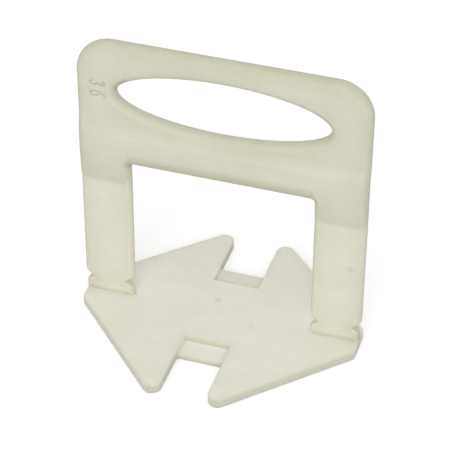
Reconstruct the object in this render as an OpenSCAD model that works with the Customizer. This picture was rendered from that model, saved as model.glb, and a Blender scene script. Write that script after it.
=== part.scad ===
// Tile levelling clip, moulded in one piece of natural plastic.
// A pronged base slides under two tiles, two thin legs stand in the joint between them,
// and a wedge is driven through the window to press both tiles down on the base.
// X runs along the joint, Y across it and Z up. The origin is on the floor, under the middle of the base.

/* [Base] */
// Length of the base along the joint
base_w = 50; // [44:1:60]
// Thickness of the base
base_t = 1.85; // [1.5:0.05:3]
// Distance from the middle of the base to the tips of the prongs
prong_reach = 22; // [18:0.5:28]
// Radius of a prong's tip, seen from above
prong_tip_r = 1.65; // [0.8:0.05:2.5]
// Length of the straight edge at each end of the base
end_len = 5.4; // [3:0.1:8]
// Radius of the corners at each end of the base
end_corner_r = 1; // [0.6:0.1:2]
// Width of the slot between two prongs
slot_w = 8.3; // [5:0.1:12]
// Distance from the middle of the base to the step where a slot ends
step_reach = 8.15; // [5:0.05:10]
// Distance from the middle of the base to the free edge of the thin tongue in a slot
tongue_reach = 12.2; // [10.5:0.1:15]
// Thickness of the tongue
tongue_t = 1.1; // [0.6:0.05:1.4]
// Rounding of the base's edges
base_edge_r = 0.35; // [0.1:0.05:0.5]

/* [Legs] */
// Thickness of the legs, which sets the width of the joint
leg_t = 2; // [1.5:0.1:2.4]
// Width of the window between the legs
window_w = 32; // [26:0.5:35]
// Height from the floor to the upper edge of the window
window_top = 30.5; // [26:0.5:34]
// How far the legs stand in from the sides of the thicker part above
leg_inset = 0.06; // [0.04:0.01:0.2]
// Depth of the breaking notches in the sides of the legs
notch_depth = 1.5; // [0.6:0.1:2]
// Height of a breaking notch's point above the base
notch_rise = 2.95; // [2:0.05:5]
// Height of a notch's slope above its point
notch_upper = 1.3; // [0.8:0.1:2]
// Height of a notch's slope below its point
notch_lower = 1.9; // [0.6:0.1:2]
// Depth of the undercut along the foot of a leg
undercut_depth = 0.25; // [0.1:0.05:0.5]
// Height of the undercut
undercut_h = 0.9; // [0.5:0.1:1.2]

/* [Band over the window] */
// How far the band's front stands out from the front of the legs
band_front = 1.1; // [0.6:0.1:2]
// Height of the lower end of the band, where it runs out on the legs
band_low = 26; // [23:0.5:26]
// Height from which the band has its full thickness
band_full = 33.5; // [31:0.5:34]
// Height of the upper edge of the band's flat front
band_flat_top = 36.1; // [34.5:0.1:36.5]
// Height of the upper end of the band, where it runs out on the handle
band_top = 38; // [37.5:0.1:40]

/* [Handle] */
// Height of the clip
clip_h = 53.6; // [50:0.2:62]
// Width of the handle and of the band
handle_w = 50; // [46:1:60]
// Thickness of the handle
handle_t = 2.8; // [2.6:0.1:4]
// Radius of the handle's upper corners
corner_r = 6.4; // [3:0.1:9]
// Width of the oval finger hole
hole_w = 36.5; // [24:0.5:40]
// Height of the oval finger hole
hole_h = 10.1; // [6:0.1:10.5]
// Height of the middle of the finger hole
hole_z = 44.1; // [43.5:0.1:46]

/* [Hidden] */
$fn = 64;
// Colour of the undyed plastic
plastic = [0.86, 0.85, 0.78];
// Radius of a rounded rim over half the thickness it rounds, so that rim and flat meet in a fine edge
crown = 1.06;
// Share of a rim's radius that the flat stretch between two rims covers before it is trimmed
infill = 0.99;
// How far one volume runs into its neighbour, and a cutter past the face it cuts
lap = 1;
// Segments round the finger hole, and steps across its rounded rim
hole_segments = 72;
rim_steps = 8;
// Steps along the curve in which the band runs out on the legs
run_out_steps = 6;
// Segments of the rounded corners and edges of the base
base_fn = 32;
edge_fn = 16;
// Front and back faces of the legs, the handle and the band
leg_front = -leg_t / 2;
handle_front = -handle_t / 2;
handle_back = handle_t / 2;
band_face = leg_front - band_front;
// The thicker part is rounded about the middle of its thickness
band_mid = (band_face + handle_back) / 2;
band_rim = crown * (handle_back - band_face) / 2;
handle_rim = crown * handle_t / 2;
leg_rim = crown * leg_t / 2;
// Height of the axis of the rounded upper edge of the window
sill_z = window_top + band_rim;
// Inner and outer sides of the thicker part over a leg
column_in = window_w / 2;
column_out = handle_w / 2;
// How far the band's back stands out from the back of the legs
band_rear = handle_back + leg_front;
// Heights along the run-out on the legs, and its foot, where its first stretch is carried on into the leg
run_out = [for (i = [1:run_out_steps]) band_low + (band_full - band_low) * i / run_out_steps];
run_out_foot = band_low + (run_out[0] - band_low) * leg_front / (band_front * swell(run_out[0]));
// Top of the band, where its upper slope is carried on into the handle
slope_top = band_flat_top - band_face * (band_top - band_flat_top) / (handle_front - band_face);

// Share of the band's full thickness at a height in its run-out
function swell(z) = 1 - pow((band_full - z) / (band_full - band_low), 2);

// A bar's plan: a flat stretch with a rounded rim at each end, trimmed to its front and back faces.
module bar_plan(x_low, x_high, rim, front, back) {
    middle = (front + back) / 2;
    intersection() {
        union() {
            for (x = [x_low + rim, x_high - rim])
                translate([x, middle])
                    circle(r = rim);
            translate([x_low + rim, middle - infill * rim])
                square([x_high - x_low - 2 * rim, 2 * infill * rim]);
        }
        translate([x_low, front])
            square([x_high - x_low, back - front]);
    }
}

// An upright bar with the plan above.
module bar(x_low, x_high, rim, front, back, z_low, z_high) {
    translate([0, 0, z_low])
        linear_extrude(z_high - z_low)
            bar_plan(x_low, x_high, rim, front, back);
}

// A cross-section in Y and Z, carried along X to both sides of the middle.
module across(width) {
    rotate([90, 0, 90])
        linear_extrude(width, center = true)
            children();
}

// A disc with rounded upper and lower edges, one corner of a wing.
module corner_disc(radius) {
    for (z = [base_edge_r, base_t - base_edge_r])
        translate([0, 0, z])
            rotate_extrude($fn = base_fn)
                translate([radius - base_edge_r, 0])
                    circle(r = base_edge_r, $fn = edge_fn);
}

// Half of the base, with one prong to the front and one to the rear.
module wing() {
    hull()
        for (side = [-1, 1]) {
            translate([slot_w / 2 + prong_tip_r, side * (prong_reach - prong_tip_r), 0])
                corner_disc(prong_tip_r);
            translate([base_w / 2 - end_corner_r, side * end_len / 2, 0])
                corner_disc(end_corner_r);
        }
}

module base() {
    bridge_w = slot_w + 2 * lap;
    wing();
    mirror([1, 0, 0])
        wing();
    translate([-bridge_w / 2, -step_reach, 0])
        cube([bridge_w, 2 * step_reach, base_t]);
    translate([-bridge_w / 2, -tongue_reach, 0])
        cube([bridge_w, 2 * tongue_reach, tongue_t]);
}

// Section of the undercut at the front of a leg's foot, which leaves the leg thinnest at the base.
module undercut_section() {
    slope = undercut_h / undercut_depth;
    polygon([
        [leg_front + undercut_depth, base_t],
        [leg_front - lap, base_t + undercut_h + lap * slope],
        [leg_front - lap, base_t]
    ]);
}

// A breaking notch that points along X, with its mouth at the origin.
module notch() {
    mouth = (notch_depth + lap) / notch_depth;
    rotate([90, 0, 0])
        linear_extrude(2 * leg_t, center = true)
            polygon([
                [notch_depth, 0],
                [-lap, mouth * notch_upper],
                [-lap, -mouth * notch_lower]
            ]);
}

// The right leg, notched at both sides, where the clip breaks off once the tiles are set.
module leg() {
    x_low = column_in + leg_inset;
    x_high = column_out - leg_inset;
    difference() {
        bar(x_low, x_high, leg_rim, leg_front, -leg_front, base_t / 2, sill_z);
        translate([x_low, 0, base_t + notch_rise])
            notch();
        translate([x_high, 0, base_t + notch_rise])
            mirror([1, 0, 0])
                notch();
        for (side = [0, 1])
            mirror([0, side, 0])
                across(2 * handle_w)
                    undercut_section();
    }
}

// Thickness of the band: flat in front, running out in a slope up the handle and in a curve down the legs.
module band_section() {
    front = [for (z = run_out) [leg_front - band_front * swell(z), z]];
    back = [for (i = [run_out_steps - 1:-1:0]) [-leg_front + band_rear * swell(run_out[i]), run_out[i]]];
    upper = [[band_face, band_flat_top], [0, slope_top], [handle_back, band_top]];
    polygon(concat([[0, run_out_foot]], front, upper, back));
}

// The thicker band over the window, with a column at each side that runs out on the leg below.
module band() {
    panel_w = window_w + 2 * band_rim;
    intersection() {
        across(2 * handle_w)
            band_section();
        union() {
            for (side = [0, 1])
                mirror([side, 0, 0])
                    bar(column_in, column_out, band_rim, band_mid - band_rim, band_mid + band_rim, run_out_foot, slope_top);
            translate([-panel_w / 2, band_mid - infill * band_rim, sill_z])
                cube([panel_w, 2 * infill * band_rim, slope_top - sill_z]);
            translate([0, band_mid, sill_z])
                rotate([0, 90, 0])
                    cylinder(r = band_rim, h = panel_w, center = true);
        }
    }
}

// Outline of the handle inside its rounded rim, seen from the front.
module handle_core() {
    inner_r = corner_r - handle_rim;
    x_high = column_out - handle_rim;
    z_high = clip_h - handle_rim;
    for (side = [-1, 1])
        translate([side * (x_high - inner_r), z_high - inner_r])
            circle(r = inner_r);
    translate([inner_r - x_high, sill_z])
        square([2 * (x_high - inner_r), z_high - sill_z]);
    translate([-x_high, sill_z])
        square([2 * x_high, z_high - inner_r - sill_z]);
}

// Rounded rim along the sides, corners and top of the handle.
module handle_edge() {
    corner_x = column_out - corner_r;
    corner_z = clip_h - corner_r;
    translate([0, 0, clip_h - handle_rim])
        rotate([0, 90, 0])
            cylinder(r = handle_rim, h = 2 * corner_x, center = true);
    for (side = [0, 1])
        mirror([side, 0, 0]) {
            translate([column_out - handle_rim, 0, sill_z])
                cylinder(r = handle_rim, h = corner_z - sill_z);
            translate([corner_x, 0, corner_z])
                rotate([90, 0, 0])
                    rotate_extrude(angle = 90)
                        translate([corner_r - handle_rim, 0])
                            circle(r = handle_rim);
        }
}

module handle() {
    intersection() {
        translate([-handle_w, handle_front, 0])
            cube([2 * handle_w, handle_t, clip_h]);
        union() {
            rotate([90, 0, 0])
                linear_extrude(2 * infill * handle_rim, center = true)
                    handle_core();
            handle_edge();
        }
    }
}

// How far the finger hole has opened at a distance y from the middle of the handle's thickness.
function flare(y) = handle_rim - sqrt(pow(handle_rim, 2) - pow(min(abs(y), handle_t / 2), 2));

// The oval finger hole with its rounded rim, as a solid to be cut away.
module finger_hole() {
    inside = [for (i = [0:rim_steps]) handle_t * (i / rim_steps - 0.5)];
    depths = concat([handle_front - lap], inside, [handle_back + lap]);
    last = len(depths) - 1;
    points = [
        for (y = depths)
            for (i = [0:hole_segments - 1])
                let (angle = 360 * i / hole_segments)
                    [(hole_w / 2 + flare(y)) * cos(angle), y, hole_z + (hole_h / 2 + flare(y)) * sin(angle)]
    ];
    sides = [
        for (ring = [0:last - 1])
            for (i = [0:hole_segments - 1])
                let (near = ring * hole_segments, far = near + hole_segments, next = (i + 1) % hole_segments)
                    [near + i, near + next, far + next, far + i]
    ];
    front_cap = [for (i = [hole_segments - 1:-1:0]) i];
    back_cap = [for (i = [0:hole_segments - 1]) last * hole_segments + i];
    polyhedron(points = points, faces = concat(sides, [front_cap, back_cap]), convexity = 4);
}

module clip() {
    color(plastic)
        difference() {
            union() {
                base();
                leg();
                mirror([1, 0, 0])
                    leg();
                band();
                handle();
            }
            finger_hole();
        }
}

clip();
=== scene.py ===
"""A tile levelling clip of natural plastic, on a pale studio floor."""

import math

import bpy
import numpy as np
from mathutils import Matrix, Vector


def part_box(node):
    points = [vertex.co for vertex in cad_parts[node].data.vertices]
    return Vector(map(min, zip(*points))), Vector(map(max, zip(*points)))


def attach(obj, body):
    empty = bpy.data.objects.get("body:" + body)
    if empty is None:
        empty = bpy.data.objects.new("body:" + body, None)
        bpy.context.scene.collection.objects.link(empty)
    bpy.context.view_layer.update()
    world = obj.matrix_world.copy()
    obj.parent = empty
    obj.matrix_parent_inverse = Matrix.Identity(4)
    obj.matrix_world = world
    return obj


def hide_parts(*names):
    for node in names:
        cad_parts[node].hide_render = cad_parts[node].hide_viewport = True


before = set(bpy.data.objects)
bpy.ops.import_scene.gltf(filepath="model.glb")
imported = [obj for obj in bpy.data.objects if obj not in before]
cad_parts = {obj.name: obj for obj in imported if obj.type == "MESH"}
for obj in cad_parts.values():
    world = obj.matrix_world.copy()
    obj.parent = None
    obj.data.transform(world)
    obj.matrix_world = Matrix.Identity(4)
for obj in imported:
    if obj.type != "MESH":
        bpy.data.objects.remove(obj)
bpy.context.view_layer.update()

# Sizes are in millimetres where nothing else is said, and the scene is in metres.
MM = 0.001

# The outer sizes come from the frame.
HALF_W, REACH, TOP = (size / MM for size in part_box("clip")[1])

# Base: thickness, and how far its ends and its rear prongs stand in from the outer sizes
BASE_T = 1.85
END_INSET = 0.25
BASE_HALF = HALF_W - END_INSET
REAR_INSET = 0.5
REAR_PRONG_REACH = REACH - REAR_INSET
# Radius of the prongs' tips, and length and corner radius of the straight ends
TIP_R = 1.65
END_LEN = 5.4
END_R = 1.0
# Slot between two prongs, the step where it ends, the radius there, and the thin tongue in it
SLOT_HALF = 4.15
STEP_REACH = 8.15
INNER_CORNER_R = 0.35
TONGUE_REACH = 12.2
TONGUE_T = 1.1
# Rounding of the upper, lower and tongue edges, and the fillet round the tongues
UPPER_EDGE_R = 0.24
LOWER_EDGE_R = 0.2
TONGUE_EDGE_R = 0.18
FILLET = 0.5
# Points along the arcs of the outline: inner corners, tips and ends
INNER_STEPS = 8
TIP_STEPS = 40
END_STEPS = 16

# Upright plate: window, upper corners and finger hole
WINDOW_HALF = 16.0
WINDOW_TOP = 30.5
WINDOW_CORNER_R = 0.7
CORNER_R = 6.2
HOLE_A = 18.25
HOLE_B = 5.05
HOLE_Z = 44.1
# Share of the half thickness that a rounded rim takes up
RIM_SHARE = 0.97
# Height inside the base where the legs begin
ROOT_Z = 1.2

# Breaking notches: depth, height of the point, slopes above and below it, and softness of the edges
NOTCH_DEPTH = 1.5
NOTCH_RISE = 2.95
NOTCH_Z = BASE_T + NOTCH_RISE
NOTCH_UPPER = 1.3
NOTCH_LOWER = 1.4
NOTCH_SOFTNESS = 0.3
# How far the stumps below the outer notches stand in, and the height over which they do so
STUMP_INSET = 0.15
STUMP_BLEND = 0.5

# Depths of the plate's faces from its middle, on the legs, the handle and the band
LEG_Y = 1.0
HANDLE_Y = 1.4
BAND_Y = 2.1
# Undercut along the feet of the legs, and the fillet where they meet the base
UNDERCUT_DEPTH = 0.4
UNDERCUT_H = 1.2
FOOT_FILLET = 0.05
# Heights of the band: lower end on the legs, full thickness, upper edge of its front, upper end
BAND_LOW = 26.0
BAND_FULL = 33.5
BAND_FLAT_TOP = 36.1
BAND_TOP = 38.0
# Points along the curve in which the band runs out on the legs
RUN_OUT_STEPS = 20
# Length over which two stretches of a face run into each other
FACE_SOFTNESS = 0.3

# Sunk cavity number on the handle, read from the right: place, size and pitch of the figures, and stroke
MARK_X = -22.4
MARK_Z = 46.5
FIGURE_W = 1.4
FIGURE_H = 2.55
FIGURE_PITCH = 2.05
STROKE_R = 0.19
STROKE_BLEND = 0.1
# Arcs of the figures in shares of a figure's size: centre, radius, first and last degree, points
THREE_UPPER = ((0.5, 0.77), 0.23, 150, -90, 10)
THREE_LOWER = ((0.5, 0.27), 0.27, 70, -150, 10)
SIX_BOWL = ((0.5, 0.29), 0.29, 0, 360, 16)
SIX_STEM = ((0.86, 0.29), 0.65, 180, 95, 8)

# Tones of the plastic for wall thicknesses, duller where the wall is thick: partly the plastic's own denser
# look, partly painted light standing for light that shines through the thin walls
WALLS = (1.1, 1.85, 2.0, 2.3, 2.7, 3.5)
WALL_TONES = (1.1, 1.055, 0.965, 0.93, 0.89, 0.893)
# Tones that count as not pale and as fully pale
DULLEST_TONE = 0.6
PALEST_TONE = 1.25
# Length over which the tones of the legs and the base run into each other
FOOT_BLEND = 0.5

# Painted shade towards the edges of the plate: the loss of tone there, and the reach over which it fades
PLATE_EDGE_LOSS = 0.15
PLATE_EDGE_REACH = 1.4
# Shares of it that edges facing up or right are spared, as painted light from above and the right; edges
# facing left lose as much more, as painted shade
UP_RELIEF = 0.4
RIGHT_RELIEF = 0.5
# Painted shade on surfaces of the plate that face up, what the top of the handle adds, and the slope of full
# loss
UP_LOSS = 0.035
TOP_LOSS = 0.055
TOP_SLOPE = 0.4
# Painted shade on surfaces that face down, which grows between two slopes
DOWN_LOSS = 0.15
DOWN_SLOPES = (0.2, 0.35)
# Heights over the window between which the same painted shade fades on its rim
SILL_HEIGHTS = (1.6, 2.8)
# Painted shade along the legs, darkest in the undercut at their feet, at heights over the base
FOOT_LOSSES = (0.11, 0.025, 0)
FOOT_HEIGHTS = (0.7, 2.4, 16.0)
# Painted shade on the right sides of the stumps, against the light they catch, and the heights over the base
# between which it fades
STUMP_LOSS = 0.12
STUMP_HEIGHTS = (2.6, 3.4)
# Painted light on the lower flanks of the notches, to lift the shade in them
FLANK_GAIN = 0.12
# Painted shade in the sunk figures
FIGURE_LOSS = 0.08

# Painted shade towards the edges of the base, its reach, and the share that left and right walls are spared
BASE_EDGE_LOSS = 0.14
BASE_EDGE_REACH = 0.6
SIDE_RELIEF = 0.4
# Painted shade on walls of the base that face the front, and the share of it on the tongue
FRONT_LOSS = 0.13
TONGUE_SHARE = 0.5
# Painted shade on rounded edges of the base that face the front, against the light they catch, and the share
# of it on those that face a side
ROUND_LOSS = 0.36
SIDE_SHARE = 0.5
# Painted shade at the rear of the base, behind the plate, and the places between which it grows
REAR_LOSS = 0.035
REAR_REACH = (3.0, 12.0)
# Painted light behind and beside the legs, standing for light that they let through into their shadow, and
# its reach to the side and to the rear
FOOT_GAIN = 0.115
FOOT_REACH = (2.5, 8.0)
# Painted light in the corner of the front step, to lift its shade, and its reach
STEP_GAIN = 0.25
STEP_GAIN_REACH = 0.4
# Least length of a normal seen from above
LEAST_LEVEL = 0.01

# Steps of the grid: on plain stretches, on faces, at the notches, at edges, in the base and in the figures
COARSE_STEP = 0.42
FACE_STEP = 0.35
NOTCH_STEP = 0.25
FINE_STEP = 0.2
BASE_STEP = 0.13
FIGURE_STEP = 0.11
# Room that the grid leaves round the clip, and the length of its finer stretches at rims
MARGIN = 0.3
RIM_ROOM = 2.2
# How far its finer stretches run on over the base and the notches, past the band and the steps
BASE_ROOM = 1.0
NOTCH_ROOM = 2.0
BAND_ROOM = 1.0
STEP_ROOM = 0.5
# How far they run on in front of the band, and on the inner and outer side of a tongue's free edge
FRONT_ROOM = 0.4
TONGUE_INNER_ROOM = 0.4
TONGUE_OUTER_ROOM = 0.2
# Length of the cavity number down the handle, with some room
MARK_LENGTH = 3.8
# Moving points onto the surface: passes, longest move, reach of a slope, and least square of a slope
SETTLE_PASSES = 3
LONGEST_MOVE = 0.15
SLOPE_REACH = 0.02
LEAST_STEEP = 0.2
# Passes that find the nearest point of an ellipse
ELLIPSE_PASSES = 4
# Least length to divide by
TINY = 1e-9

# Plastic: refraction, spread of red, green and blue light in it, and the reach of that spread
PLASTIC_IOR = 1.49
SPREAD = (1, 1, 0.9)
SPREAD_REACH = 1.2
# Dull and pale ends of the plastic's colour; the tone between them carries painted shade and painted light as
# well as the wall's thickness
DULL_COLOUR = (0.457, 0.449, 0.313, 1)
PALE_COLOUR = (0.952, 0.936, 0.862, 1)
# Clouds in the plastic: size, amount of paleness, and the scale of X, Y and Z
CLOUDS = ((5, 0.03, (1, 1, 1)), (0.7, 0.025, (1, 1, 1)), (2, 0.02, (0.1, 1, 1)))
# Stretch of a noise that the clouds use in full
CLOUD_RANGE = (0.25, 0.75)
# Grey specks in the plastic, each with its place and its loss of paleness
SPECKS = (((-1.6, 2.9, BASE_T), 0.22), ((6.0, -2.3, BASE_T), 0.12), ((22.7, -LEG_Y, 17.6), 0.17))
# Radii inside which a speck is full, and beyond which it ends
SPECK_CORE = 0.15
SPECK_EDGE = 1.0
# Satin skin: size of its grain, stretch of the noise used, roughness, and strength and height of its relief
GRAIN = 0.5
GRAIN_RANGE = (0.3, 0.7)
ROUGHNESS = (0.5, 0.64)
RELIEF_STRENGTH = 0.25
RELIEF_HEIGHT = 0.03

# Studio floor: half size in metres, tone for the light and for the camera, and the glow that the camera sees
FLOOR_HALF = 2.0
FLOOR_LIT = (0.5, 0.5, 0.5, 1)
FLOOR_SEEN = (0.9, 0.9, 0.9, 1)
FLOOR_GLOW = 0.25
# Even light from all round
WHITE = (1, 1, 1, 1)
AMBIENT = 0.775
# Main lamp: place and width in metres, power in watts, and the height on the clip that it points at
LAMP_PLACE = (0.1, -0.94, 0.41)
LAMP_WIDTH = 0.7
LAMP_WATTS = 4.95
LAMP_AIM_Z = 25
# Camera: angles in degrees, target, distance, lens, sensor, and the nearest place it sees, in metres
CAMERA_AZIMUTH = 17.44
CAMERA_ELEVATION = 37.15
CAMERA_ROLL = 0.41
CAMERA_TARGET = (0.634, 0.0, 20.766)
CAMERA_DISTANCE = 319.4
CAMERA_LENS = 150.9
CAMERA_SENSOR = 36
CAMERA_NEAR = 0.01


def round_max(a, b, radius):
    """Where two half-spaces overlap, with their common edge rounded."""
    corner = np.hypot(np.maximum(a + radius, 0), np.maximum(b + radius, 0))
    return np.minimum(np.maximum(a, b), -radius) + corner


def smooth_min(a, b, width):
    """The union of two volumes, with a fillet where they meet."""
    near = np.maximum(width - np.abs(a - b), 0)
    return np.minimum(a, b) - near**2 / (4 * width)


def smooth_max(a, b, width):
    """The overlap of two volumes, with a soft edge where they meet."""
    return -smooth_min(-a, -b, width)


def arc(centre, radius, start, end, steps):
    """Points along an arc, with the angles in radians."""
    return [
        (centre[0] + radius * math.cos(angle), centre[1] + radius * math.sin(angle))
        for angle in np.linspace(start, end, steps)
    ]


def segments(points):
    """The stretches of a path, each as its start and end."""
    return zip(points[:-1], points[1:])


def path_distance(points, u, v):
    """Distance from (u, v) to a path."""
    nearest = np.inf
    for (u0, v0), (u1, v1) in segments(points):
        du, dv = u1 - u0, v1 - v0
        along = np.clip(((u - u0) * du + (v - v0) * dv) / (du**2 + dv**2), 0, 1)
        nearest = np.minimum(nearest, np.hypot(u - u0 - along * du, v - v0 - along * dv))
    return nearest


def outline_distance(points, u, v):
    """Signed distance from (u, v) to a closed outline, negative inside it."""
    inside = np.zeros(np.broadcast(u, v).shape, bool)
    for (u0, v0), (u1, v1) in segments(points):
        if v0 != v1:
            inside ^= ((v0 > v) != (v1 > v)) & (u < u0 + (v - v0) * (u1 - u0) / (v1 - v0))
    return np.where(inside, -1, 1) * path_distance(points, u, v)


def ellipse_distance(a, b, u, v):
    """Signed distance from (u, v) to an ellipse, negative inside it."""
    u, v = np.abs(u), np.abs(v)
    cosine = sine = np.full(np.broadcast(u, v).shape, math.sqrt(0.5))
    for _ in range(ELLIPSE_PASSES):
        # The nearest point is found again from the centre of the curve at the last one.
        centre_u = (a**2 - b**2) * cosine**3 / a
        centre_v = (b**2 - a**2) * sine**3 / b
        radius = np.hypot(a * cosine - centre_u, b * sine - centre_v)
        away = np.maximum(np.hypot(u - centre_u, v - centre_v), TINY)
        cosine = np.clip((centre_u + (u - centre_u) * radius / away) / a, 0, 1)
        sine = np.clip((centre_v + (v - centre_v) * radius / away) / b, 0, 1)
        length = np.hypot(cosine, sine)
        cosine, sine = cosine / length, sine / length
    side = np.sign((u / a) ** 2 + (v / b) ** 2 - 1)
    return side * np.hypot(u - a * cosine, v - b * sine)


def face_depth(points, z):
    """Depth of a face at height z: straight stretches that run softly into each other."""
    heights, depths = np.array(points).T
    slopes = np.diff(depths) / np.diff(heights)
    depth = depths[0] + slopes[0] * (z - heights[0])
    for height, bend in zip(heights[1:-1], np.diff(slopes)):
        depth = depth + bend * (z - height + np.hypot(z - height, FACE_SOFTNESS)) / 2
    return depth


def base_outline(reach, step):
    """A quarter of the base from above, with a prong between slot and end, run on past the middle."""
    past = -REACH
    tip = np.array([SLOT_HALF + TIP_R, reach - TIP_R])
    end = np.array([BASE_HALF - END_R, END_LEN / 2])
    gap = end - tip
    slant = math.atan2(gap[1], gap[0]) + math.acos((TIP_R - END_R) / math.hypot(*gap))
    inner = (SLOT_HALF - INNER_CORNER_R, step + INNER_CORNER_R)
    return [
        (past, past),
        (past, step),
        *arc(inner, INNER_CORNER_R, -math.pi / 2, 0, INNER_STEPS),
        *arc(tip, TIP_R, math.pi, slant, TIP_STEPS),
        *arc(end, END_R, slant, 0, END_STEPS),
        (BASE_HALF, past),
        (past, past),
    ]


def plan_distance(x, y, rear_step):
    """Distance to the outline of the base seen from above, negative inside it."""
    front = outline_distance(base_outline(REACH, STEP_REACH), np.abs(x), np.abs(y))
    rear = outline_distance(base_outline(REAR_PRONG_REACH, rear_step), np.abs(x), np.abs(y))
    return np.where(y < 0, front, rear)


def base_field(x, y, z):
    """Distance to the base, negative inside it."""
    plate = round_max(plan_distance(x, y, STEP_REACH), z - BASE_T, UPPER_EDGE_R)
    strip = np.maximum(np.abs(x) - SLOT_HALF - TIP_R, np.abs(y) - TONGUE_REACH)
    tongue = round_max(strip, z - TONGUE_T, TONGUE_EDGE_R)
    return round_max(smooth_min(plate, tongue, FILLET), -z, LOWER_EDGE_R)


def run_out(depth):
    """Points (height, depth) along the curve in which a face of the band runs out on the legs."""
    return [
        (z, LEG_Y + (depth - LEG_Y) * (1 - ((BAND_FULL - z) / (BAND_FULL - BAND_LOW)) ** 2))
        for z in np.linspace(BAND_LOW, BAND_FULL, RUN_OUT_STEPS)
    ]


FOOT = [(BASE_T, LEG_Y - UNDERCUT_DEPTH), (BASE_T + UNDERCUT_H, LEG_Y)]
FRONT_FACE = [*FOOT, *run_out(BAND_Y), (BAND_FLAT_TOP, BAND_Y), (BAND_TOP, HANDLE_Y), (TOP, HANDLE_Y)]
BACK_FACE = [*FOOT, *run_out(HANDLE_Y), (TOP, HANDLE_Y)]


def notch_field(inward, z):
    """Distance to a breaking notch, negative inside it, from the depth inward of a leg's side."""
    open_share = 1 - inward / NOTCH_DEPTH
    upper = (z - NOTCH_Z - NOTCH_UPPER * open_share) / math.hypot(1, NOTCH_UPPER / NOTCH_DEPTH)
    lower = (NOTCH_Z - z - NOTCH_LOWER * open_share) / math.hypot(1, NOTCH_LOWER / NOTCH_DEPTH)
    return np.maximum(upper, lower)


def notches(x, z):
    """Distances to the notches on the outer and inner sides of the legs, negative inside them."""
    side = np.abs(x)
    return notch_field(HALF_W - side, z), notch_field(side - WINDOW_HALF, z)


def plate_outline(x, z):
    """Distance to the edges of the legs, band and handle seen from the front, negative inside them."""
    side = np.abs(x)
    stump = STUMP_INSET * np.clip((NOTCH_Z - z) / STUMP_BLEND, 0, 1)
    outline = round_max(side + stump - HALF_W, z - TOP, CORNER_R)
    window = round_max(side - WINDOW_HALF, z - WINDOW_TOP, WINDOW_CORNER_R)
    outline = np.maximum(outline, -window)
    return np.maximum(outline, -ellipse_distance(HOLE_A, HOLE_B, x, z - HOLE_Z))


def plate_field(x, y, z):
    """Distance to the legs, band and handle, negative inside them."""
    front = -face_depth(FRONT_FACE, z)
    back = face_depth(BACK_FACE, z)
    half = (back - front) / 2
    plate = round_max(plate_outline(x, z), np.abs(y - (front + back) / 2) - half, RIM_SHARE * half)
    for notch in notches(x, z):
        plate = smooth_max(plate, -notch, NOTCH_SOFTNESS)
    return np.maximum(plate, ROOT_Z - z)


def figure_arc(centre, radius, first, last, steps):
    """Points along an arc of a figure, with the angles in degrees."""
    return arc(centre, radius, math.radians(first), math.radians(last), steps)


def figures():
    """Strokes of the two figures of the cavity number, across and up as they are read."""
    three = figure_arc(*THREE_UPPER) + figure_arc(*THREE_LOWER)
    strokes = [(three, 0), (figure_arc(*SIX_BOWL), FIGURE_PITCH), (figure_arc(*SIX_STEM), FIGURE_PITCH)]
    return [[(along + FIGURE_W * u, FIGURE_H * v) for u, v in stroke] for stroke, along in strokes]


def mark_field(x, y, z):
    """Distance to the strokes of the cavity number, negative inside them."""
    face = -face_depth(FRONT_FACE, z)
    strokes = [path_distance(stroke, MARK_Z - z, x - MARK_X) for stroke in figures()]
    return np.hypot(np.minimum.reduce(strokes), y - face) - STROKE_R


def clip_field(x, y, z):
    """Distance to the whole clip, negative inside it."""
    marked = smooth_max(plate_field(x, y, z), -mark_field(x, y, z), STROKE_BLEND)
    return smooth_min(marked, base_field(x, y, z), FOOT_FILLET)


def on_front_tongue(x, y):
    """Whether places on the base are on the front tongue, which looks thin, unlike the rear one."""
    return (y < -STEP_REACH - INNER_CORNER_R) & (np.abs(x) < SLOT_HALF)


def facing_painted_shade(normals, tongue):
    """Painted shade on walls of the base that face the front, and on its rounded upper edges."""
    up = np.clip(normals[:, 2], 0, 1)
    level = np.maximum(np.hypot(normals[:, 0], normals[:, 1]), LEAST_LEVEL)
    front = np.clip(-normals[:, 1] / level, 0, 1)
    front_or_side = np.clip(front + SIDE_SHARE * np.abs(normals[:, 0]) / level, 0, 1)
    wall = FRONT_LOSS * (1 - up) * front**2 * np.where(tongue, TONGUE_SHARE, 1)
    return wall + ROUND_LOSS * up * level * front_or_side


def foot_painted_light(x, y):
    """Painted light on the base behind and beside the legs, where their shadow falls."""
    beside = np.maximum(WINDOW_HALF - np.abs(x), 0) / FOOT_REACH[0]
    across = np.maximum(np.abs(y) - LEG_Y, 0) / FOOT_REACH[1]
    behind = np.interp(y, (-LEG_Y, LEG_Y), (0, 1))
    return FOOT_GAIN * behind * np.exp(-np.hypot(beside, across))


def step_painted_light(x, y, z):
    """Painted light in the corner between the front step and the tongue, where shade falls."""
    sunk = np.interp(z, (TONGUE_T, BASE_T), (1, 0)) * (np.abs(x) < SLOT_HALF)
    away = np.maximum(-y - STEP_REACH, 0)
    return STEP_GAIN * sunk**2 * (y < 0) * np.exp(-away / STEP_GAIN_REACH)


def base_painted_shading(x, y, z, normals):
    """Painted shading of the base: loss of tone by its edges, its rear and the way it faces, less painted
    light at its step and by the legs.
    """
    tongue = on_front_tongue(x, y)
    edge = np.where(tongue, -y - TONGUE_REACH, plan_distance(x, y, TONGUE_REACH))
    rim = BASE_EDGE_LOSS * np.exp(np.minimum(edge, 0) / BASE_EDGE_REACH)
    rim = rim * (1 - SIDE_RELIEF * np.abs(normals[:, 0]))
    rear = REAR_LOSS * np.interp(y, REAR_REACH, (0, 1))
    return rim + rear + facing_painted_shade(normals, tongue) - step_painted_light(x, y, z) - foot_painted_light(x, y)


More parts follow.
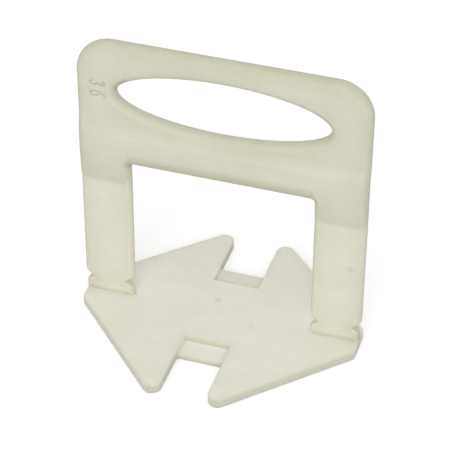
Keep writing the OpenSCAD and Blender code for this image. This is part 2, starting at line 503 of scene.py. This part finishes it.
def slope_painted_shade(x, z, slope):
    """Painted shade on surfaces of the plate that face up or down."""
    near_top = np.clip(1 - (TOP - z) / CORNER_R, 0, 1)
    upper = np.clip(slope / TOP_SLOPE, 0, 1) * (UP_LOSS + TOP_LOSS * near_top)
    over_window = (np.abs(x) < WINDOW_HALF) & (z > WINDOW_TOP)
    sill = np.interp(z - WINDOW_TOP, SILL_HEIGHTS, (1, 0))
    lower = np.where(over_window, sill, np.interp(-slope, DOWN_SLOPES, (0, 1)))
    return upper + DOWN_LOSS * lower


def leg_painted_shading(z, normals):
    """Painted shade along the legs, less where painted light lifts the flanks of their notches and more on
    their stumps.
    """
    along = np.interp(z - BASE_T, FOOT_HEIGHTS, FOOT_LOSSES)
    flank = np.clip(normals[:, 2], 0, 1) * (z < NOTCH_Z)
    stump = np.interp(z - BASE_T, STUMP_HEIGHTS, (1, 0)) * np.clip(normals[:, 0], 0, 1)
    return along - FLANK_GAIN * flank + STUMP_LOSS * stump


def plate_painted_shading(x, y, z, normals):
    """Painted shading of the plate: loss of tone by its edges, the way it faces, its legs and its figures."""
    edge = np.maximum.reduce([plate_outline(x, z), *(-notch for notch in notches(x, z))])
    relief = UP_RELIEF * np.clip(normals[:, 2], 0, 1) + RIGHT_RELIEF * normals[:, 0]
    rim = PLATE_EDGE_LOSS * np.exp(np.minimum(edge, 0) / PLATE_EDGE_REACH) * (1 - relief)
    figure = FIGURE_LOSS * np.clip(0.5 - mark_field(x, y, z) / STROKE_R, 0, 1)
    return rim + slope_painted_shade(x, z, normals[:, 2]) + leg_painted_shading(z, normals) + figure


def paleness_and_painted_shading(points, normals):
    """How pale the plastic is at points of its surface, where 0 is dull and 1 is pale: a tone for the wall's
    thickness, with painted shade and painted light laid over it.
    """
    x, y, z = points.T
    plate_wall = face_depth(FRONT_FACE, z) + face_depth(BACK_FACE, z)
    base_wall = np.where(on_front_tongue(x, y), TONGUE_T, BASE_T)
    plate_tone = np.interp(plate_wall, WALLS, WALL_TONES) * (1 - plate_painted_shading(x, y, z, normals))
    base_tone = np.interp(base_wall, WALLS, WALL_TONES) * (1 - base_painted_shading(x, y, z, normals))
    share = np.clip(0.5 + (base_field(x, y, z) - plate_field(x, y, z)) / FOOT_BLEND, 0, 1)
    tone = share * plate_tone + (1 - share) * base_tone
    return (tone - DULLEST_TONE) / (PALEST_TONE - DULLEST_TONE)


def grid_lines(start, stretches):
    """Places of grid lines from a start on, in stretches that each have an end and about a step."""
    lines = [start]
    for end, step in stretches:
        count = math.ceil((end - lines[-1]) / step)
        lines.extend(np.linspace(lines[-1], end, count + 1)[1:])
    return np.array(lines)


def grid_across():
    """Grid lines along X, closer at the sides of the legs and the figures."""
    return grid_lines(-HALF_W - MARGIN, [
        (MARK_X - MARGIN, FINE_STEP),
        (MARK_X + FIGURE_H + MARGIN, FIGURE_STEP),
        (-WINDOW_HALF - RIM_ROOM, COARSE_STEP),
        (MARGIN - WINDOW_HALF, FINE_STEP),
        (WINDOW_HALF - MARGIN, COARSE_STEP),
        (WINDOW_HALF + RIM_ROOM, FINE_STEP),
        (HALF_W - RIM_ROOM, COARSE_STEP),
        (HALF_W + MARGIN, FINE_STEP),
    ])


def grid_back():
    """Grid lines along Y, closer at the plate, the steps and the free edges of the tongues."""
    step_in, step_out = STEP_REACH - STEP_ROOM, STEP_REACH + STEP_ROOM
    edge_in, edge_out = TONGUE_REACH - TONGUE_INNER_ROOM, TONGUE_REACH + TONGUE_OUTER_ROOM
    return grid_lines(-REACH - MARGIN, [
        (-edge_out, COARSE_STEP),
        (-edge_in, FINE_STEP),
        (-step_out, COARSE_STEP),
        (-step_in, FINE_STEP),
        (-BAND_Y - FRONT_ROOM, COARSE_STEP),
        (HANDLE_Y + MARGIN, FINE_STEP),
        (step_in, COARSE_STEP),
        (step_out, FINE_STEP),
        (edge_in, COARSE_STEP),
        (edge_out, FINE_STEP),
        (REACH + MARGIN, COARSE_STEP),
    ])


def grid_up():
    """Grid lines along Z, closer in the base, at the notches, the rims and the figures."""
    return grid_lines(-MARGIN, [
        (BASE_T + BASE_ROOM, BASE_STEP),
        (NOTCH_Z + NOTCH_ROOM, NOTCH_STEP),
        (BAND_LOW - BAND_ROOM, COARSE_STEP),
        (WINDOW_TOP - MARGIN, FACE_STEP),
        (BAND_TOP + BAND_ROOM, FINE_STEP),
        (MARK_Z - MARK_LENGTH, FACE_STEP),
        (MARK_Z + MARGIN, FIGURE_STEP),
        (TOP - RIM_ROOM, FACE_STEP),
        (TOP + MARGIN, FINE_STEP),
    ])


def gradient(field, points):
    """Slope of the field at the points."""
    slopes = [
        (field(*(points + step).T) - field(*(points - step).T)) / (2 * SLOPE_REACH)
        for step in SLOPE_REACH * np.eye(3)
    ]
    return np.stack(slopes, axis=1)


def surface_net(field, axes):
    """Corners and quads of the surface where the field changes sign on a grid."""
    values = field(*np.meshgrid(*axes, indexing="ij", sparse=True))
    quads = []
    crossings = []
    for axis in range(3):
        count = values.shape[axis]
        near = np.take(values, range(count - 1), axis)
        far = np.take(values, range(1, count), axis)
        edges = np.argwhere((near < 0) != (far < 0))
        low, high = near[tuple(edges.T)], far[tuple(edges.T)]
        crossing = np.stack([line[place] for line, place in zip(axes, edges.T)], axis=1)
        crossing[:, axis] += low / (low - high) * np.diff(axes[axis])[edges[:, axis]]
        u, v = np.eye(3, dtype=int)[[(axis + 1) % 3, (axis + 2) % 3]]
        around = [edges, edges - u, edges - u - v, edges - v]
        cells = np.stack([np.ravel_multi_index(tuple(cell.T), values.shape) for cell in around], axis=1)
        cells[low >= 0] = cells[low >= 0][:, ::-1]
        quads.append(cells)
        crossings.append(np.repeat(crossing, 4, axis=0))
    _, corners = np.unique(np.concatenate(quads), return_inverse=True)
    corners = corners.ravel()
    shares = np.bincount(corners)
    points = [np.bincount(corners, place) / shares for place in np.concatenate(crossings).T]
    return np.stack(points, axis=1), corners.reshape(-1, 4)


def settle(field, points):
    """Moves points onto the surface of the field, and returns them with the normals there."""
    for _ in range(SETTLE_PASSES):
        slope = gradient(field, points)
        steep = np.maximum((slope**2).sum(axis=1), LEAST_STEEP)
        move = (field(*points.T) / steep)[:, None] * slope
        length = np.linalg.norm(move, axis=1, keepdims=True)
        points = points - move * np.minimum(1, LONGEST_MOVE / np.maximum(length, TINY))
    slope = gradient(field, points)
    return points, slope / np.linalg.norm(slope, axis=1, keepdims=True)


def build_clip(material):
    """The whole moulding as one fine mesh, with its true normals."""
    points, quads = surface_net(clip_field, (grid_across(), grid_back(), grid_up()))
    points, normals = settle(clip_field, points)
    mesh = bpy.data.meshes.new("clip_moulding")
    mesh.from_pydata((points * MM).tolist(), [], quads.tolist())
    mesh.shade_smooth()
    mesh.normals_split_custom_set_from_vertices(normals.tolist())
    # The tone, with its painted shade and painted light, goes on the vertices for the material
    tones = mesh.attributes.new("paleness_and_painted_shading", "FLOAT", "POINT")
    tones.data.foreach_set("value", paleness_and_painted_shading(points, normals))
    mesh.materials.append(material)
    clip = bpy.data.objects.new("clip_moulding", mesh)
    bpy.context.scene.collection.objects.link(clip)
    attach(clip, "root")
    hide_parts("clip")


def add_node(tree, kind, **inputs):
    """A new shader node with values on its sockets, by their names with _ for spaces."""
    node = tree.nodes.new(kind)
    for name, value in inputs.items():
        node.inputs[name.replace("_", " ")].default_value = value
    return node


def spread_over(tree, value, source, target):
    """A value taken from one range to another, each given as its two ends."""
    node = add_node(
        tree, "ShaderNodeMapRange", From_Min=source[0], From_Max=source[1], To_Min=target[0], To_Max=target[1]
    )
    tree.links.new(value, node.inputs["Value"])
    return node


def plus(tree, first, second):
    """The sum of two values."""
    total = add_node(tree, "ShaderNodeMath")
    tree.links.new(first, total.inputs[0])
    tree.links.new(second, total.inputs[1])
    return total.outputs["Value"]


def colour_mix(tree, factor, first, second):
    """A colour that goes from the first to the second as the factor goes from 0 to 1."""
    mix = tree.nodes.new("ShaderNodeMix")
    mix.data_type = "RGBA"
    mix.inputs["A"].default_value = first
    mix.inputs["B"].default_value = second
    tree.links.new(factor, mix.inputs["Factor"])
    return mix.outputs["Result"]


def clouded(tree, place, pale, size, amount, scale):
    """Adds soft clouds of the given size to the paleness."""
    scaled = add_node(tree, "ShaderNodeMapping", Scale=Vector(scale) / (size * MM))
    noise = add_node(tree, "ShaderNodeTexNoise", Scale=1, Detail=2, Roughness=0.5)
    tree.links.new(place, scaled.inputs["Vector"])
    tree.links.new(scaled.outputs["Vector"], noise.inputs["Vector"])
    cloud = spread_over(tree, noise.outputs["Fac"], CLOUD_RANGE, (-amount, amount))
    return plus(tree, pale, cloud.outputs["Result"])


def speckled(tree, place, pale, speck, loss):
    """Takes paleness away at a speck."""
    away = add_node(tree, "ShaderNodeVectorMath")
    away.operation = "DISTANCE"
    away.inputs[1].default_value = Vector(speck) * MM
    tree.links.new(place, away.inputs[0])
    fade = spread_over(tree, away.outputs["Value"], (SPECK_CORE * MM, SPECK_EDGE * MM), (-loss, 0))
    fade.interpolation_type = "SMOOTHSTEP"
    return plus(tree, pale, fade.outputs["Result"])


def plastic_colour(tree, place):
    """The plastic's colour, from its tone with clouds and specks; the tone also carries painted shade and
    painted light.
    """
    source = tree.nodes.new("ShaderNodeAttribute")
    source.attribute_name = "paleness_and_painted_shading"
    pale = source.outputs["Fac"]
    for size, amount, scale in CLOUDS:
        pale = clouded(tree, place, pale, size, amount, scale)
    for speck, loss in SPECKS:
        pale = speckled(tree, place, pale, speck, loss)
    return colour_mix(tree, pale, DULL_COLOUR, PALE_COLOUR)


def satin_skin(tree, place, shader):
    """A fine grain in the roughness and the relief of the skin."""
    grain = add_node(tree, "ShaderNodeTexNoise", Scale=1 / (GRAIN * MM), Detail=3, Roughness=0.6)
    relief = add_node(tree, "ShaderNodeBump", Strength=RELIEF_STRENGTH, Distance=RELIEF_HEIGHT * MM)
    satin = spread_over(tree, grain.outputs["Fac"], GRAIN_RANGE, ROUGHNESS)
    tree.links.new(place, grain.inputs["Vector"])
    tree.links.new(satin.outputs["Result"], shader.inputs["Roughness"])
    tree.links.new(grain.outputs["Fac"], relief.inputs["Height"])
    tree.links.new(relief.outputs["Normal"], shader.inputs["Normal"])


def natural_plastic():
    """Undyed polypropylene: milky, yellower where it is dull, with a satin skin; the dull places are partly
    painted shade.
    """
    material = bpy.data.materials.new("natural_plastic")
    material.use_nodes = True
    tree = material.node_tree
    shader = tree.nodes["Principled BSDF"]
    shader.inputs["IOR"].default_value = PLASTIC_IOR
    shader.inputs["Subsurface Weight"].default_value = 1
    shader.inputs["Subsurface Radius"].default_value = SPREAD
    shader.inputs["Subsurface Scale"].default_value = SPREAD_REACH * MM
    place = tree.nodes.new("ShaderNodeTexCoord").outputs["Object"]
    tree.links.new(plastic_colour(tree, place), shader.inputs["Base Color"])
    satin_skin(tree, place, shader)
    return material


def floor_white():
    """A white that keeps shadows, and throws less light back than it shows."""
    material = bpy.data.materials.new("studio_floor")
    material.use_nodes = True
    tree = material.node_tree
    tree.nodes.remove(tree.nodes["Principled BSDF"])
    seen = tree.nodes.new("ShaderNodeLightPath").outputs["Is Camera Ray"]
    white = add_node(tree, "ShaderNodeBsdfDiffuse")
    tree.links.new(colour_mix(tree, seen, FLOOR_LIT, FLOOR_SEEN), white.inputs["Color"])
    share = tree.nodes.new("ShaderNodeMath")
    share.operation = "MULTIPLY"
    share.inputs[1].default_value = FLOOR_GLOW
    glow = add_node(tree, "ShaderNodeEmission")
    both = tree.nodes.new("ShaderNodeAddShader")
    tree.links.new(seen, share.inputs[0])
    tree.links.new(share.outputs["Value"], glow.inputs["Strength"])
    tree.links.new(white.outputs["BSDF"], both.inputs[0])
    tree.links.new(glow.outputs["Emission"], both.inputs[1])
    tree.links.new(both.outputs["Shader"], tree.nodes["Material Output"].inputs["Surface"])
    return material


def studio_floor():
    """A wide level floor under the clip."""
    corners = [(x * FLOOR_HALF, y * FLOOR_HALF, 0) for x, y in ((-1, -1), (1, -1), (1, 1), (-1, 1))]
    mesh = bpy.data.meshes.new("studio_floor")
    mesh.from_pydata(corners, [], [(0, 1, 2, 3)])
    mesh.materials.append(floor_white())
    floor = bpy.data.objects.new("studio_floor", mesh)
    bpy.context.scene.collection.objects.link(floor)


def studio_world():
    """Even light from all round, that shows as white to the camera."""
    world = bpy.data.worlds.new("studio")
    bpy.context.scene.world = world
    world.use_nodes = True
    tree = world.node_tree
    ambient = tree.nodes["Background"]
    ambient.inputs["Color"].default_value = WHITE
    ambient.inputs["Strength"].default_value = AMBIENT
    white = add_node(tree, "ShaderNodeBackground", Color=WHITE, Strength=1)
    seen = tree.nodes.new("ShaderNodeLightPath")
    choice = tree.nodes.new("ShaderNodeMixShader")
    tree.links.new(seen.outputs["Is Camera Ray"], choice.inputs["Fac"])
    tree.links.new(ambient.outputs["Background"], choice.inputs[1])
    tree.links.new(white.outputs["Background"], choice.inputs[2])
    tree.links.new(choice.outputs["Shader"], tree.nodes["World Output"].inputs["Surface"])


def key_light():
    """A square soft light that points at the middle of the clip."""
    lamp = bpy.data.lights.new("key_light", "AREA")
    lamp.shape = "SQUARE"
    lamp.size = LAMP_WIDTH
    lamp.energy = LAMP_WATTS
    light = bpy.data.objects.new("key_light", lamp)
    aim = Vector((0, 0, LAMP_AIM_Z * MM))
    light.location = LAMP_PLACE
    light.rotation_euler = (aim - Vector(LAMP_PLACE)).to_track_quat("-Z", "Y").to_euler()
    bpy.context.scene.collection.objects.link(light)


def add_camera():
    """The photograph's view: from the front, right and above."""
    azimuth, elevation, roll = map(math.radians, (CAMERA_AZIMUTH, CAMERA_ELEVATION, CAMERA_ROLL))
    level = math.cos(elevation)
    back = Vector((math.sin(azimuth) * level, -math.cos(azimuth) * level, math.sin(elevation)))
    right = Vector((math.cos(azimuth), math.sin(azimuth), 0))
    up = back.cross(right)
    turned_right = math.cos(roll) * right + math.sin(roll) * up
    turned_up = math.cos(roll) * up - math.sin(roll) * right
    data = bpy.data.cameras.new("camera")
    data.lens = CAMERA_LENS
    data.sensor_width = CAMERA_SENSOR
    data.clip_start = CAMERA_NEAR
    camera = bpy.data.objects.new("camera", data)
    place = (Vector(CAMERA_TARGET) + CAMERA_DISTANCE * back) * MM
    turn = Matrix((turned_right, turned_up, back)).transposed().to_4x4()
    camera.matrix_world = Matrix.Translation(place) @ turn
    bpy.context.scene.collection.objects.link(camera)
    bpy.context.scene.camera = camera


add_camera()
studio_world()
studio_floor()
key_light()
build_clip(natural_plastic())

bpy.context.scene.view_settings.view_transform = "Standard"
